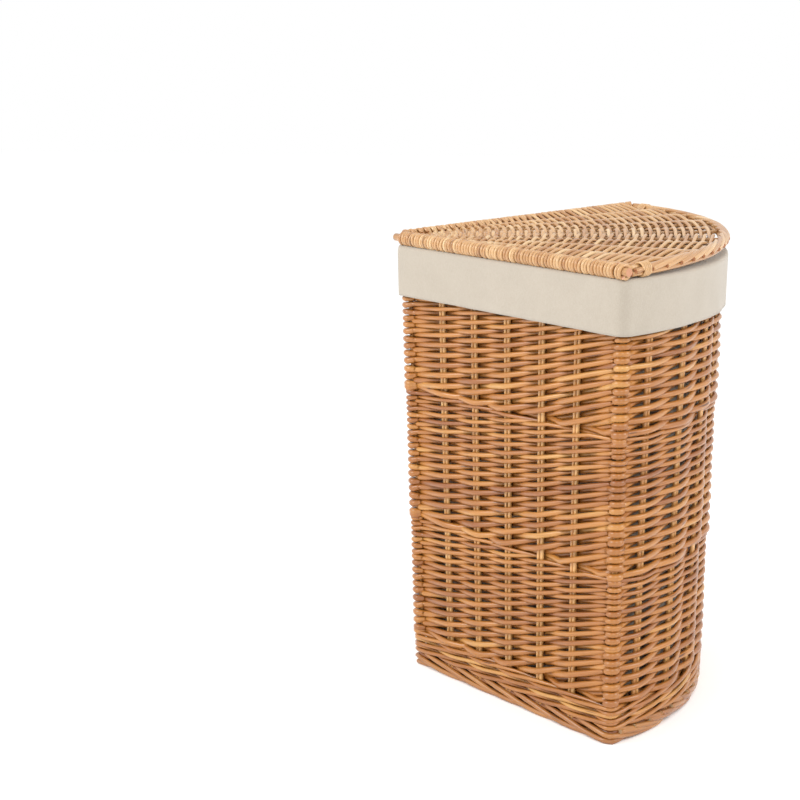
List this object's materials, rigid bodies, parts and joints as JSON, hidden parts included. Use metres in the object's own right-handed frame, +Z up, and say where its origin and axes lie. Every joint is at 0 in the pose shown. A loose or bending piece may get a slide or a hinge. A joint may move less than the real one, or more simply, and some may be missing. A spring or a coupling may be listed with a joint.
{
  "type": "corner laundry basket",
  "caption": "Quarter-round willow laundry basket for a room corner, with a removable fabric liner folded over the rim and a loose woven willow lid.",
  "frame": {"origin": "on the floor under the middle of the object's bounding box", "axes": "+Z up, the right-angled back corner towards +Y, the round front towards -Y, +X to the right seen from the front"},
  "size_m": [0.541, 0.3842, 0.5217],
  "materials": {
    "willow_weavers": "satin buff willow rods, honey to reddish brown",
    "willow_borders": "satin buff willow, thicker rods, lightly worn",
    "willow_rods": "satin buff willow sticks, paler and smoother",
    "lid_weavers": "satin pale buff willow, thin rods",
    "liner_cotton": "matt cream plain-weave cotton"
  },
  "bodies": {
    "basket": {"foot_border": "willow_borders", "rim_border": "willow_borders", "upsett_wale": "willow_weavers", "lower_weave_band": "willow_weavers", "middle_weave_band": "willow_weavers", "upper_weave_band": "willow_weavers", "base_weave": "willow_weavers", "base_stick_1": "willow_rods", "base_stick_2": "willow_rods", "base_stick_3": "willow_rods", "base_stick_4": "willow_rods", "base_stick_5": "willow_rods", "left_stake_pair_1": "willow_rods", "left_stake_pair_2": "willow_rods", "left_stake_pair_3": "willow_rods", "left_stake_pair_4": "willow_rods", "left_stake_pair_5": "willow_rods", "right_stake_pair_1": "willow_rods", "right_stake_pair_2": "willow_rods", "right_stake_pair_3": "willow_rods", "right_stake_pair_4": "willow_rods", "right_stake_pair_5": "willow_rods", "front_stake_pair_1": "willow_rods", "front_stake_pair_2": "willow_rods", "front_stake_pair_3": "willow_rods", "front_stake_pair_4": "willow_rods", "front_stake_pair_5": "willow_rods", "front_stake_pair_6": "willow_rods", "front_stake_pair_7": "willow_rods", "front_stake_pair_8": "willow_rods", "back_corner_post": "willow_rods", "left_corner_post": "willow_rods", "right_corner_post": "willow_rods"},
    "liner": {"liner_bag": "liner_cotton", "liner_cuff": "liner_cotton"},
    "lid": {"lid_weave": "lid_weavers", "lid_border": "willow_borders", "lid_left_edge_rod": "willow_rods", "lid_right_edge_rod": "willow_rods", "lid_left_lashing": "willow_borders", "lid_right_lashing": "willow_borders", "lid_rib_1": "willow_rods", "lid_rib_2": "willow_rods", "lid_rib_3": "willow_rods", "lid_rib_4": "willow_rods", "lid_rib_5": "willow_rods", "lid_rib_6": "willow_rods", "lid_rib_7": "willow_rods", "lid_rib_8": "willow_rods"}
  },
  "joints": [
    {"name": "liner_lift", "type": "slide", "parent": "basket", "child": "liner", "axis": [0, 0, 1], "range_m": [0, 0.5]},
    {"name": "lid_lift", "type": "slide", "parent": "liner", "child": "lid", "axis": [0, 0, 1], "range_m": [0, 0.3]}
  ]
}
